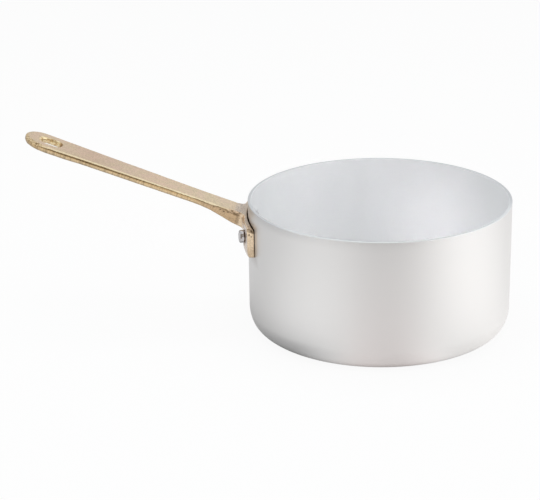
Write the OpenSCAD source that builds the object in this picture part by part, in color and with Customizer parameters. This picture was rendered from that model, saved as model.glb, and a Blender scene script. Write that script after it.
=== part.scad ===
// Saucepan: a drawn aluminium pan with a cast brass handle held by two rivets.
// The pan stands on the XY plane with its axis on Z, and the handle reaches out along -X.

/* [Pan] */
// Outside diameter of the pan
pan_d = 160; // [130:1:240]
// Height from the base to the rim
pan_h = 80.5; // [60:0.5:140]
// Thickness of the side wall
wall_t = 2; // [1.2:0.1:4]
// Thickness of the base
base_t = 2.5; // [1.5:0.1:6]
// Outside radius between the wall and the base
corner_r = 11; // [5:0.5:20]
// Inside radius between the wall and the base
inner_corner_r = 8.5; // [4:0.5:18]
// Radius of the two eased edges of the rim
rim_ease = 0.45; // [0.1:0.05:0.55]

/* [Handle bar] */
// Reach from the pan's wall to the tip, along the slope
bar_l = 142.5; // [110:0.5:200]
// Thickness of the bar
bar_t = 4; // [3:0.1:5.5]
// Slope of the bar above the horizontal
bar_slope = 20.25; // [8:0.25:30]
// Depth of the bar's top face below the rim, measured at the wall
bar_drop = 9.1; // [4:0.1:20]
// Width of the neck, the parallel stretch at the pan
neck_w = 17.3; // [12:0.1:20]
// Length of the neck along the slope
neck_l = 33; // [32:0.5:45]
// Width where the broad end begins
waist_w = 20.8; // [17:0.1:24]
// Length of the broad end
broad_l = 48.5; // [35:0.5:60]
// Width of the broad end at its round tip
tip_w = 23.4; // [19:0.1:30]
// Radius of the bar's long edges
edge_r = 1; // [0.5:0.05:1.4]

/* [Hanging slot] */
// Length of the slot
slot_l = 12.6; // [9:0.1:20]
// Width of the slot
slot_w = 8.2; // [5:0.1:11]
// Metal left between the slot and the tip
slot_inset = 9.9; // [5:0.1:16]

/* [Gusset] */
// Reach of the gusset from the wall, in plan
gusset_l = 24; // [14:0.5:25]
// Depth of the gusset's foot below the bar's top face at the wall
gusset_h = 8.7; // [7:0.1:11]
// Radius that blends the gusset into the bar's underside
gusset_blend_r = 40; // [5:1:50]
// Radius of the fillet under the gusset's foot
foot_fillet_r = 2.5; // [1:0.1:4]

/* [Flange] */
// Width of the flange across the pan
flange_w = 59; // [52:0.5:70]
// Depth of the flange's lower edge below the bar's top face at the wall
flange_h = 19.3; // [17:0.1:26]
// Thickness of the flange at its middle
flange_t = 3.2; // [2.5:0.1:6]
// Radius of the flange's outer face in plan
flange_face_r = 104; // [90:1:160]
// Height of the roll between the outer face and the lower edge
flange_roll_h = 4.5; // [2:0.1:6]
// Depth of the same roll into the flange's thickness
flange_roll_t = 1.1; // [0.5:0.1:2.4]
// Radius of the fillets between the neck's sides and the flange
neck_fillet_r = 4.5; // [2:0.1:6]

/* [Rivets] */
// Diameter of a rivet's shank
shank_d = 5; // [4:0.1:6]
// Distance between the rivets' axes, measured across at the wall
rivet_pitch = 36; // [34:0.5:42]
// Depth of the rivets' axes below the bar's top face at the wall
rivet_drop = 9.5; // [8.5:0.1:11]
// Diameter of the outer head
head_d = 7.9; // [6.4:0.1:9]
// Height of the outer head above the flange
head_h = 3; // [1.5:0.1:4]
// Radius of the outer head's edge
head_round = 0.9; // [0.3:0.1:1.4]
// Diameter of the low head inside the pan
inner_head_d = 8; // [6.4:0.1:11]
// Height of the low head inside the pan
inner_head_h = 0.9; // [0.5:0.1:2]

/* [Hidden] */

// Gap left between faces that bear on each other
seat_gap = 0.05;
// Radial gap between a shank and its bore
bore_gap = 0.03;
// How far a cutting tool runs past what it cuts
overrun = 1;
// Angle about the pan's axis at which the handle stands
handle_heading = 180;

// Segments of a turned curve, and of each arc on the cast handle
curve_fn = 96;
edge_steps = 4;
arc_steps = 6;
tip_steps = 12;

pan_r = pan_d / 2;
inner_r = pan_r - wall_t;

// The handle's side view is set out in plan distance from the pan's axis and height.
bar_top_z = pan_h - bar_drop;

// Height of the bar's top face, and of its underside, at a plan distance x.
function top_z(x) = bar_top_z + (x - pan_r) * tan(bar_slope);
function under_z(x) = top_z(x) - bar_t / cos(bar_slope);

// Distance along the bar, and depth below its top face, of a point of the side view.
function along(p) = (p[0] - pan_r) * cos(bar_slope) + (p[1] - bar_top_z) * sin(bar_slope);
function below(p) = (p[0] - pan_r) * sin(bar_slope) - (p[1] - bar_top_z) * cos(bar_slope);

// Arc of radius r that rounds the corner b of the line from a to c.
function round_corner(a, b, c, r) =
    let (
        to_a = (a - b) / norm(a - b),
        to_c = (c - b) / norm(c - b),
        half = acos(to_a * to_c) / 2,
        turn = 180 - 2 * half,
        centre = b + (to_a + to_c) / norm(to_a + to_c) * r / sin(half),
        first = b + to_a * r / tan(half) - centre,
        last = b + to_c * r / tan(half) - centre
    )
    [for (i = [0:arc_steps])
        centre + (first * sin(turn * (1 - i / arc_steps)) + last * sin(turn * i / arc_steps)) / sin(turn)];

// The flange's outer face is part of a cylinder whose axis stands off the pan's own.
face_x = pan_r + flange_t;
face_axis_x = face_x - flange_face_r;
flange_low_z = bar_top_z - flange_h;
root_x = sqrt(pow(pan_r, 2) - pow(flange_w / 2, 2)) - overrun;
roll_r = (pow(flange_roll_h, 2) + pow(flange_roll_t, 2)) / (2 * flange_roll_t);

// Underside of the handle from inside the flange to the bar: its foot, its gusset and its blend.
foot = [face_x - pow(neck_w / 2, 2) / (2 * flange_face_r), bar_top_z - gusset_h];
gusset_end = [pan_r + gusset_l, under_z(pan_r + gusset_l)];
beyond_gusset = [pan_r + 2 * gusset_l, under_z(pan_r + 2 * gusset_l)];
foot_arc = round_corner([foot[0], flange_low_z], foot, gusset_end, foot_fillet_r);
blend_arc = round_corner(foot, gusset_end, beyond_gusset, gusset_blend_r);
underside = concat([[pan_r - overrun, foot_arc[0][1]]], foot_arc, blend_arc);

// Stations of half the bar's outline: distance along, half width, heading of its side, thickness.
tip_r = tip_w / 2;
waist_s = bar_l - broad_l;
bar_side = concat(
    [for (p = underside) [along(p), neck_w / 2, 90, below(p)]],
    [[neck_l, neck_w / 2, 90, bar_t], [waist_s, waist_w / 2, 90, bar_t]],
    [for (i = [0:tip_steps])
        let (a = 90 - 90 * i / (tip_steps + 0.5))
        [bar_l - tip_r + tip_r * cos(a), tip_r * sin(a), a, bar_t]]
);

// The same stations for the slot, whose two ends are half circles.
slot_s = bar_l - slot_inset - slot_l / 2;
slot_side = [for (end = [-1, 1]) for (i = [0:tip_steps])
    let (turn = 90 * (end < 0 ? tip_steps - i : i) / (tip_steps + 0.5), a = 90 - end * turn)
    [slot_s + end * (slot_l - slot_w) / 2 + slot_w / 2 * cos(a), slot_w / 2 * sin(a), a, bar_t]];

// Layers of a rounded edge: how far each lies in from the side, and in from the face.
edge_layers = [for (i = [0:edge_steps])
    let (a = 90 * i / edge_steps) [edge_r * (1 - sin(a)), edge_r * (1 - cos(a))]];

rivet_z = bar_top_z - rivet_drop;
rivet_angle = asin(rivet_pitch / pan_d);
// Distance from the pan's axis to the flange's outer face, along a rivet's axis
rivet_face = face_axis_x * cos(rivet_angle)
    + sqrt(pow(flange_face_r, 2) - pow(face_axis_x * sin(rivet_angle), 2));
inner_dome_r = (pow(inner_head_d / 2, 2) + pow(inner_head_h, 2)) / (2 * inner_head_h);

// Half of an upright section: a straight side, a round lower corner and a flat bottom.
module cup_section(r, h, round_r) {
    square([r - round_r, h]);
    translate([0, round_r]) square([r, h - round_r]);
    translate([r - round_r, round_r]) circle(r = round_r, $fn = curve_fn);
}

// Half section of the wall's top end, whose inner and outer edges are eased.
module rim_section() {
    translate([inner_r, pan_h - corner_r]) square([wall_t, corner_r - rim_ease]);
    translate([inner_r + rim_ease, pan_h - corner_r]) square([wall_t - 2 * rim_ease, corner_r]);
    for (x = [inner_r + rim_ease, pan_r - rim_ease])
        translate([x, pan_h - rim_ease]) circle(r = rim_ease, $fn = curve_fn);
}

module pan_section() {
    difference() {
        cup_section(pan_r, pan_h - rim_ease, corner_r);
        translate([0, base_t]) cup_section(inner_r, pan_h, inner_corner_r);
    }
    rim_section();
}

// Moves its children from an upright Z axis to a rivet's axis, pointing away from the pan.
module on_rivet_axis(side) {
    rotate([0, 0, handle_heading + side * rivet_angle])
        translate([0, 0, rivet_z])
            rotate([0, 90, 0])
                children();
}

module rivet_bores() {
    for (side = [-1, 1])
        on_rivet_axis(side)
            translate([0, 0, inner_r - overrun])
                cylinder(d = shank_d + 2 * bore_gap, h = rivet_face - inner_r + 2 * overrun, $fn = curve_fn);
}

// The drawn pan: a flat base, a round corner and an upright wall, in one thin shell.
module pan_body() {
    color("gainsboro")
        difference() {
            rotate_extrude($fn = 2 * curve_fn) pan_section();
            rivet_bores();
        }
}

// Closed ring of points round both sides of an outline, drawn in by inset at a depth of its own.
function ring(side, inset, drop, lower) =
    let (half = [for (p = side)
        [p[0] - inset * cos(p[2]), p[1] - inset * sin(p[2]), lower ? drop - p[3] : -drop]])
    concat(half, [for (i = [len(half) - 1:-1:0]) [half[i][0], -half[i][1], half[i][2]]]);

function rings_of(side, flare) = concat(
    [for (e = edge_layers) ring(side, flare * e[0], e[1], false)],
    [for (i = [edge_steps:-1:0]) ring(side, flare * edge_layers[i][0], edge_layers[i][1], true)]
);

// Solid skinned over rings of equal length, closed by flat ends whose two sides mirror each other.
module skin(rings) {
    m = len(rings[0]);
    last = (len(rings) - 1) * m;
    polyhedron(
        points = [for (r = rings) for (p = r) p],
        faces = concat(
            [for (k = [0:len(rings) - 2]) for (j = [0:m - 1])
                let (a = k * m + j, b = k * m + (j + 1) % m)
                each [[a, a + m, b + m], [a, b + m, b]]],
            [for (j = [0:m / 2 - 2])
                let (c = m - 2 - j)
                each [[j, j + 1, c], [j, c, c + 1],
                      [last + j, last + c, last + j + 1], [last + j, last + c + 1, last + c]]]
        )
    );
}

// The bar, its gusset and its foot in one, with rounded edges, and the slot with flared rims.
module bar() {
    translate([pan_r, 0, bar_top_z])
        rotate([0, -bar_slope, 0])
            difference() {
                skin(rings_of(bar_side, 1));
                skin(concat(
                    [ring(slot_side, -edge_r, -overrun, false)],
                    rings_of(slot_side, -1),
                    [ring(slot_side, -edge_r, -overrun, true)]
                ));
            }
}

// Half section of the flange, turned about its face's axis: its lower edge rolls in to the wall.
module flange_section() {
    translate([0, flange_low_z + flange_roll_h]) square([flange_face_r, pan_h]);
    translate([0, flange_low_z]) square([flange_face_r - roll_r, pan_h]);
    intersection() {
        translate([flange_face_r - roll_r, flange_low_z + flange_roll_h])
            circle(r = roll_r, $fn = curve_fn);
        translate([flange_face_r - roll_r - overrun, flange_low_z])
            square([roll_r + 2 * overrun, flange_roll_h + overrun]);
    }
}

// Extrudes a side view, drawn in plan distance and height, over a width across the handle.
module across(w) {
    rotate([90, 0, 0]) linear_extrude(w, center = true) children();
}

module flange() {
    intersection() {
        translate([face_axis_x, 0, 0]) rotate_extrude($fn = 2 * curve_fn) flange_section();
        across(flange_w)
            polygon([
                [root_x, 0], [face_x + overrun, 0],
                [face_x + overrun, top_z(face_x) + 2 * overrun], [root_x, top_z(root_x) + overrun]
            ]);
    }
}

// The two fillets in plan between the neck's sides and the flange's outer face.
module neck_fillets() {
    centre_y = neck_w / 2 + neck_fillet_r;
    centre_x = face_axis_x + sqrt(pow(flange_face_r + neck_fillet_r, 2) - pow(centre_y, 2));
    turn = acos(centre_y / (flange_face_r + neck_fillet_r));
    arc = [for (i = [0:arc_steps])
        let (a = 270 - turn * i / arc_steps)
        [centre_x + neck_fillet_r * cos(a), centre_y + neck_fillet_r * sin(a)]];
    end = len(underside) - 1;
    intersection() {
        for (side = [0, 1])
            mirror([0, side, 0])
                linear_extrude(2 * pan_h)
                    polygon(concat(arc, [[pan_r, arc[arc_steps][1]], [pan_r, neck_w / 2 - edge_r]]));
        across(2 * flange_w)
            polygon(concat(
                [for (p = underside) p + [0, edge_r]],
                [[underside[end][0], top_z(underside[end][0]) + overrun],
                 [pan_r - overrun, top_z(pan_r - overrun) + overrun]]
            ));
    }
}

// The space above the plane of the bar's top face, which also trims the flange and its fillets.
module above_bar() {
    translate([pan_r, 0, bar_top_z])
        rotate([0, -bar_slope, 0])
            translate([-pan_r, -flange_w, 0]) cube([pan_r + bar_l, 2 * flange_w, pan_h]);
}

// One brass casting: the bar, its hanging slot, the gusset and the flange that fits the wall.
module handle() {
    color("burlywood")
        difference() {
            rotate([0, 0, handle_heading]) {
                bar();
                flange();
                neck_fillets();
            }
            cylinder(r = pan_r + seat_gap, h = 2 * pan_h, $fn = 2 * curve_fn);
            rotate([0, 0, handle_heading]) above_bar();
            rivet_bores();
        }
}

// Half section of a round head of full height h, with a rounded top edge.
module head_section(h) {
    square([head_d / 2, h - head_round]);
    square([head_d / 2 - head_round, h]);
    translate([head_d / 2 - head_round, h - head_round]) circle(r = head_round, $fn = curve_fn);
}

// One rivet: a shank through wall and flange, an upset head outside and a low dome inside.
module rivet(side) {
    color("darkgray") {
        on_rivet_axis(side)
            translate([0, 0, inner_r - inner_head_h / 2])
                cylinder(d = shank_d, h = rivet_face - inner_r + (inner_head_h + head_h) / 2, $fn = curve_fn);
        difference() {
            on_rivet_axis(side)
                translate([0, 0, pan_r])
                    rotate_extrude($fn = curve_fn) head_section(rivet_face - pan_r + head_h);
            rotate([0, 0, handle_heading])
                translate([face_axis_x, 0, 0])
                    cylinder(r = flange_face_r + seat_gap, h = 2 * pan_h, $fn = 2 * curve_fn);
        }
        intersection() {
            on_rivet_axis(side)
                translate([0, 0, inner_r - seat_gap - inner_head_h + inner_dome_r])
                    sphere(r = inner_dome_r, $fn = curve_fn);
            cylinder(r = inner_r - seat_gap, h = 2 * pan_h, $fn = 2 * curve_fn);
        }
    }
}

module rivet_front() {
    rivet(1);
}

module rivet_back() {
    rivet(-1);
}

pan_body();
handle();
rivet_front();
rivet_back();
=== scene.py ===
import math
from types import SimpleNamespace

import bpy
import numpy as np
from mathutils import Matrix, Vector, noise
from mathutils.bvhtree import BVHTree


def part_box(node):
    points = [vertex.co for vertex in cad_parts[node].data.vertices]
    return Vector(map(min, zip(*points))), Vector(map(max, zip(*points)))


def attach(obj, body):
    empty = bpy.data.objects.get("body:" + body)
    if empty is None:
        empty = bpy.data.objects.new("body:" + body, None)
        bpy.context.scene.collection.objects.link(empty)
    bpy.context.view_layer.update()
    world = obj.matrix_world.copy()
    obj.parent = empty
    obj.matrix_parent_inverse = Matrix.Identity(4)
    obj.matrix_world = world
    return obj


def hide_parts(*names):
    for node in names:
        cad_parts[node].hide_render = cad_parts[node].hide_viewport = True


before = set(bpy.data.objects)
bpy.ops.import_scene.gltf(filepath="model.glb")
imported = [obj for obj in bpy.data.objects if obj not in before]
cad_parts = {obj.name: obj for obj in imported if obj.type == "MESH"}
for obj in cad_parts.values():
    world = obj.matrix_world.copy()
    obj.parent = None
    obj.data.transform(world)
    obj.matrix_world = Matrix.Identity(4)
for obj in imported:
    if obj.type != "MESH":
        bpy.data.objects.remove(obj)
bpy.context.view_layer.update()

# The view of the photograph: a long lens, about 1.15 m from the pan, that looks down
# on it from the front at 20 degrees.
camera_data = bpy.data.cameras.new("photo_camera")
camera_data.lens = 122.81
camera_data.sensor_width = 36
camera_data.clip_start = 0.01
camera = bpy.data.objects.new("photo_camera", camera_data)
camera.location = (0, -1.05965, 0.4405)
camera.rotation_euler = [math.radians(a) for a in (69.6212, 0.8193, 3.3154)]
bpy.context.scene.collection.objects.link(camera)
bpy.context.scene.camera = camera
bpy.context.scene.view_settings.view_transform = "Standard"

# The pan itself: one disc of aluminium, drawn into a straight-sided shell with a round
# lower corner. It is turned to a satin finish outside and left dull inside, and its
# square rim has both edges eased. Two holes in the wall take the rivets.
mm = 0.001
pan_d = 160 * mm
pan_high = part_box("pan_body")[1]
pan_r = pan_high.x
pan_h = pan_high.z
wall_t = 2 * mm
base_t = 2.5 * mm
corner_low_r = 10 * mm
corner_high_r = 20 * mm
corner_join = -20
inner_corner_r = 8.5 * mm
rim_ease = 0.3 * mm
rim_band = 0.55 * mm
pan_turns = 254
# Where the bar, the flange and the rivets of the handle meet the wall
bar_drop = 9.1 * mm
bar_top_z = pan_h - bar_drop
# The bar's top face carried on to the pan's axis: its slope, and how far it falls by there
bar_line_slope = -0.369
bar_line_drop = 29.5 * mm
flange_half = 29.5 * mm
flange_h = 19.3 * mm
rivet_drop = 9.5 * mm
rivet_pitch = 36 * mm
rivet_z = bar_top_z - rivet_drop
rivet_turn = math.asin(rivet_pitch / pan_d)
bore_r = 2.53 * mm
bore_half = 3 * mm
bore_turns = 48
bore_margin = 4.5
# Plain rings that keep the faces short: radii on the base, heights on the wall and radii
# on the inside, in mm
base_rings = (10, 30, 50, 64)
wall_rings = (20, 30, 40, 50, rivet_z / mm - bore_margin, rivet_z / mm + bore_margin, 74)
floor_rings = (55, 40, 25, 10)
# The reach of dirt and painted shade in the joint beside the flange, and of the flange's painted shade
# and reflection on the wall round it
wall_dirt_and_shade_reach = 0.4 * mm
flange_shade_reach = 7 * mm


def arc_points(x, z, r, start, end, steps):
    """Points of an arc in a half section, from one angle to another, in degrees."""
    angles = [math.radians(start + (end - start) * i / steps) for i in range(steps + 1)]
    return [(x + r * math.cos(a), z + r * math.sin(a)) for a in angles]


def revolved(name, section, turns):
    """A mesh turned about Z from a half section whose two ends lie on the axis."""
    ring_count = len(section) - 2
    verts = [(0, 0, section[0][1])]
    for r, z in section[1:-1]:
        for k in range(turns):
            a = 2 * math.pi * k / turns
            verts.append((r * math.cos(a), r * math.sin(a), z))
    verts.append((0, 0, section[-1][1]))
    last = len(verts) - 1
    faces = []
    for k in range(turns):
        n = (k + 1) % turns
        faces.append((0, 1 + n, 1 + k))
        for i in range(ring_count - 1):
            a = 1 + i * turns
            faces.append((a + k, a + n, a + turns + n, a + turns + k))
        top = 1 + (ring_count - 1) * turns
        faces.append((top + k, top + n, last))
    mesh = bpy.data.meshes.new(name)
    mesh.from_pydata(verts, [], faces)
    mesh.validate()
    return mesh


def in_scene(name, data):
    """A new object of that mesh or lamp, linked to the scene."""
    piece = bpy.data.objects.new(name, data)
    bpy.context.scene.collection.objects.link(piece)
    return piece


def applied(piece, name):
    """The piece's mesh as its modifiers leave it, under a new name. The piece is removed."""
    evaluated = piece.evaluated_get(bpy.context.evaluated_depsgraph_get())
    made = bpy.data.meshes.new_from_object(evaluated)
    bpy.data.objects.remove(piece)
    made.name = name
    return made


def placed(name, mesh, material):
    """An object of the root body that shows a mesh in one material."""
    piece = in_scene(name, mesh)
    mesh.materials.clear()
    mesh.materials.append(material)
    mesh.shade_smooth()
    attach(piece, "root")
    return piece


def rivet_axis(side):
    """The direction in which a rivet points away from the pan: side is -1 for the camera's."""
    return Vector((-math.cos(rivet_turn), side * math.sin(rivet_turn), 0))


def bored(mesh, name):
    """The pan's mesh with the two rivet holes cut through its wall."""
    shell = in_scene(name, mesh)
    section = [(0, -bore_half), (bore_r, -bore_half), (bore_r, bore_half), (0, bore_half)]
    drills = []
    for side in (-1, 1):
        drill = in_scene("drill", revolved("drill", section, bore_turns))
        drill.data.transform(rivet_axis(side).to_track_quat("Z", "Y").to_matrix().to_4x4())
        shift = rivet_axis(side) * (pan_r - wall_t / 2) + Vector((0, 0, rivet_z))
        drill.data.transform(Matrix.Translation(shift))
        cut = shell.modifiers.new("hole", "BOOLEAN")
        cut.operation = "DIFFERENCE"
        cut.solver = "EXACT"
        cut.object = drill
        drills.append(drill)
    made = applied(shell, name)
    for drill in drills:
        bpy.data.objects.remove(drill)
    return made


def node(tree, kind, **settings):
    """A shader node of that kind, with its settings and input values given by name."""
    made = tree.nodes.new("ShaderNode" + kind)
    for key, value in settings.items():
        if key in made.inputs:
            made.inputs[key].default_value = value
        else:
            setattr(made, key, value)
    return made


def plug(tree, value, socket):
    """Gives a socket its value: the output of another node, or a plain number."""
    if isinstance(value, bpy.types.NodeSocket):
        tree.links.new(value, socket)
    elif value is not None:
        socket.default_value = value


def maths(tree, operation, a, b=None, c=None):
    """A Math node whose inputs are outputs of other nodes or numbers. Returns its output."""
    made = node(tree, "Math", operation=operation)
    for socket, value in zip(made.inputs, (a, b, c)):
        plug(tree, value, socket)
    return made.outputs[0]


def product(tree, *factors):
    """The factors multiplied together, in their order."""
    made = factors[0]
    for factor in factors[1:]:
        made = maths(tree, "MULTIPLY", made, factor)
    return made


def less(tree, a, b):
    """One value less another."""
    return maths(tree, "SUBTRACT", a, b)


def all_but(tree, share):
    """What a share leaves of 1."""
    return less(tree, 1.0, share)


def diagonal(tree, a, b):
    """The length of a vector whose two parts are at right angles."""
    return maths(tree, "SQRT", maths(tree, "MULTIPLY_ADD", a, a, maths(tree, "MULTIPLY", b, b)))


def ramped(tree, value, start, end, low=0.0, high=1.0):
    """A value that goes smoothly from low to high while its input goes from start to end."""
    made = node(tree, "MapRange", interpolation_type="SMOOTHSTEP")
    for label, number in (("From Min", start), ("From Max", end), ("To Min", low), ("To Max", high)):
        made.inputs[label].default_value = number
    plug(tree, value, made.inputs["Value"])
    return made.outputs[0]


def blended(tree, factor, first, second, blend_type="MIX"):
    """A colour between two others, each the output of another node or three numbers."""
    made = node(tree, "MixRGB", blend_type=blend_type)
    plug(tree, factor, made.inputs["Fac"])
    for socket, value in ((made.inputs["Color1"], first), (made.inputs["Color2"], second)):
        plug(tree, (*value, 1) if isinstance(value, tuple) else value, socket)
    return made.outputs[0]


def noisy(tree, place, scale, detail=2.0, roughness=0.5):
    """A Noise texture of the object's own coordinates. Returns its value."""
    made = node(tree, "TexNoise", Detail=detail, Roughness=roughness)
    plug(tree, scale, made.inputs["Scale"])
    tree.links.new(place, made.inputs["Vector"])
    return made.outputs["Fac"]


def split_up(tree, vector):
    """The three parts of a vector."""
    made = node(tree, "SeparateXYZ")
    tree.links.new(vector, made.inputs[0])
    return made.outputs


def new_group(name, inputs, outputs):
    """An empty group with named sockets; an input without a number is a vector."""
    tree = bpy.data.node_groups.new(name, "ShaderNodeTree")
    for label, default in inputs.items():
        kind = "NodeSocketVector" if default is None else "NodeSocketFloat"
        socket = tree.interface.new_socket(name=label, in_out="INPUT", socket_type=kind)
        if default is not None:
            socket.default_value = default
    for label in outputs:
        tree.interface.new_socket(name=label, in_out="OUTPUT", socket_type="NodeSocketFloat")
    return tree, tree.nodes.new("NodeGroupInput").outputs, tree.nodes.new("NodeGroupOutput").inputs


def use_group(tree, group, **values):
    """Places a node group in a material and gives its inputs their values."""
    made = node(tree, "Group", node_tree=group)
    for label, value in values.items():
        plug(tree, value, made.inputs[label.replace("_", " ")])
    return made.outputs


def new_material(name):
    """A material with its Principled shader. Returns the material, its tree and the shader."""
    material = bpy.data.materials.new(name)
    material.use_nodes = True
    tree = material.node_tree
    return material, tree, tree.nodes["Principled BSDF"]


def build_turned_lines():
    """Fine rings round the Z axis, as a lathe leaves them on a wall and on a base."""
    tree, given, out = new_group(
        "turned_lines", {"Position": None, "Lines per m": 3000.0, "Runs round": 2.0}, ["Height"]
    )
    x, y, z = split_up(tree, given["Position"])
    angle = maths(tree, "ARCTAN2", y, x)
    join = node(tree, "CombineXYZ")
    for socket, wave in zip(join.inputs, ("SINE", "COSINE")):
        plug(tree, product(tree, maths(tree, wave, angle), given["Runs round"]), socket)
    from_middle = maths(tree, "ADD", diagonal(tree, x, y), z)
    plug(tree, product(tree, from_middle, given["Lines per m"]), join.inputs[2])
    tree.links.new(noisy(tree, join.outputs[0], 1.0, 3.0, 0.6), out["Height"])
    return tree


def build_handling_marks():
    """Soft cloudy smudges that handling leaves on bare metal."""
    tree, given, out = new_group("handling_marks", {"Position": None, "Smudge scale": 20.0}, ["Smudge"])
    cloud = noisy(tree, given["Position"], given["Smudge scale"], 4.0, 0.55)
    tree.links.new(cloud, out["Smudge"])
    return tree


def build_joint_dirt():
    """Dark polish and grease where two pieces meet, with painted shade in the gap: strongest at distance
    0.
    """
    tree, given, out = new_group(
        "joint_dirt_and_shade", {"Position": None, "Distance": 0.0, "Reach": 0.0006}, ["Dirt"]
    )
    uneven = ramped(tree, noisy(tree, given["Position"], 260.0, 3.0), 0.35, 0.65, 0.75, 1.25)
    share = maths(tree, "DIVIDE", given["Distance"], product(tree, given["Reach"], uneven))
    tree.links.new(ramped(tree, share, 0.35, 1.0, 1.0, 0.0), out["Dirt"])
    return tree


turned_lines = build_turned_lines()
handling_marks = build_handling_marks()
joint_dirt_and_shade = build_joint_dirt()

satin, tree, shader = new_material("satin_aluminium")
shader.inputs["Anisotropic"].default_value = 0.35
place = node(tree, "TexCoord").outputs["Object"]
x, y, z = split_up(tree, place)
nx, ny, nz = split_up(tree, node(tree, "NewGeometry").outputs["Normal"])
outward = maths(tree, "MULTIPLY_ADD", nx, x, maths(tree, "MULTIPLY", ny, y))
outward = maths(tree, "DIVIDE", outward, diagonal(tree, x, y))
inside = ramped(tree, less(tree, nz, outward), -0.2, 0.2)
rim = ramped(tree, z, pan_h - rim_band, pan_h - rim_ease)
rim = product(tree, rim, ramped(tree, outward, -0.65, -0.25))
dull_skin = product(tree, inside, all_but(tree, rim))
rings = use_group(tree, turned_lines, Position=place, Lines_per_m=2600.0, Runs_round=1.6)
marks = use_group(tree, handling_marks, Position=place, Smudge_scale=16.0)
turned = blended(tree, marks["Smudge"], (0.77, 0.768, 0.768), (0.82, 0.818, 0.818))
etched = blended(tree, marks["Smudge"], (0.832, 0.837, 0.843), (0.85, 0.854, 0.858))
tone = blended(tree, dull_skin, turned, etched)
# The rim's own tone, with painted shade on its far side and on the handle's side
far_rim_shade = ramped(tree, y, -25 * mm, 5 * mm)
rim_tone_and_shade = blended(tree, far_rim_shade, (0.84, 0.845, 0.85), (0.64, 0.645, 0.655))
rim_shade_by_handle = ramped(tree, x, -45 * mm, -68 * mm)
rim_tone_and_shade = blended(tree, rim_shade_by_handle, rim_tone_and_shade, (0.68, 0.685, 0.69))
tone = blended(tree, rim, tone, rim_tone_and_shade)

# How far a place on the wall lies outside the flange: the greatest distance past an edge
beside_flange = less(tree, maths(tree, "ABSOLUTE", y), flange_half)
below_flange = less(tree, bar_top_z - flange_h, z)
bar_top = maths(tree, "MULTIPLY_ADD", x, bar_line_slope, bar_top_z - bar_line_drop)
beyond = maths(tree, "MAXIMUM", beside_flange, below_flange)
beyond = maths(tree, "MAXIMUM", beyond, less(tree, z, bar_top))
beyond = maths(tree, "MAXIMUM", beyond, x)
outer_wall = all_but(tree, inside)
# Painted shade and reflection of the flange on the outer wall round it
flange_shade_mask = product(tree, ramped(tree, beyond, 0.0, flange_shade_reach, 0.32, 0.0), outer_wall)
tone = blended(tree, flange_shade_mask, tone, (0.36, 0.32, 0.29))
# Dirt and painted shade along the wall where the flange meets it, darkest high up
dirt_and_shade = use_group(tree, joint_dirt_and_shade, Position=place, Distance=beyond, Reach=wall_dirt_and_shade_reach)["Dirt"]
high_up = ramped(tree, z, 52 * mm, 60 * mm)
dirt_and_shade_tone = blended(tree, high_up, (0.40, 0.33, 0.26), (0.10, 0.07, 0.05))
tone = blended(tree, product(tree, dirt_and_shade, outer_wall), tone, dirt_and_shade_tone)
# Painted shade on the outer wall just under the rim, on the handle's side
shade_under_rim = ramped(tree, z, pan_h - 6 * mm, pan_h - 1 * mm, 0.0, 0.3)
shade_under_rim = product(tree, shade_under_rim, ramped(tree, x, -25 * mm, -60 * mm))
shade_under_rim = product(tree, shade_under_rim, all_but(tree, maths(tree, "MAXIMUM", inside, rim)))
tone = blended(tree, shade_under_rim, tone, (0.52, 0.515, 0.51))
tree.links.new(tone, shader.inputs["Base Color"])
rough = maths(tree, "MULTIPLY_ADD", marks["Smudge"], 0.10, 0.33)
rough = maths(tree, "MULTIPLY_ADD", rings["Height"], 0.06, rough)
rough = maths(tree, "MULTIPLY_ADD", dull_skin, 0.25, rough)
tree.links.new(rough, shader.inputs["Roughness"])
metal = maths(tree, "MULTIPLY_ADD", dull_skin, -0.75, 1.0)
tree.links.new(metal, shader.inputs["Metallic"])
bump = node(tree, "Bump", Strength=0.06, Distance=0.0002)
tree.links.new(rings["Height"], bump.inputs["Height"])
tree.links.new(bump.outputs[0], shader.inputs["Normal"])

inner_r = pan_r - wall_t
corner_high_x = pan_r - corner_high_r
join_x = math.cos(math.radians(corner_join)) * (corner_high_r - corner_low_r)
join_z = math.sin(math.radians(corner_join)) * (corner_high_r - corner_low_r)
section = [(0, 0)]
section += [(r * mm, 0) for r in base_rings]
section += arc_points(corner_high_x + join_x, corner_low_r, corner_low_r, -90, corner_join, 16)
section += arc_points(corner_high_x, corner_low_r - join_z, corner_high_r, corner_join, 0, 6)[1:]
section += [(pan_r, z * mm) for z in wall_rings]
section += arc_points(pan_r - rim_ease, pan_h - rim_ease, rim_ease, 0, 90, 6)
section += arc_points(inner_r + rim_ease, pan_h - rim_ease, rim_ease, 90, 180, 6)
section += [(inner_r, z * mm) for z in reversed(wall_rings)]
section += arc_points(inner_r - inner_corner_r, base_t + inner_corner_r, inner_corner_r, 0, -90, 14)
section += [(r * mm, base_t) for r in floor_rings]
section += [(0, base_t)]
pan_mesh = bored(revolved("pan_shell", section, pan_turns), "pan_shell")
pan = placed("pan_shell", pan_mesh, satin)
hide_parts("pan_body")

# The handle: one brass casting, poured in sand and left matte and grainy on its broad
# faces. Its sides and edges were ground by hand, which leaves uneven facets of bright
# golden metal, with a few casting pits in the gusset and the flange.


def in_mm(*values):
    """The values, given in mm, in metres."""
    return [v * mm for v in values]


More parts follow.
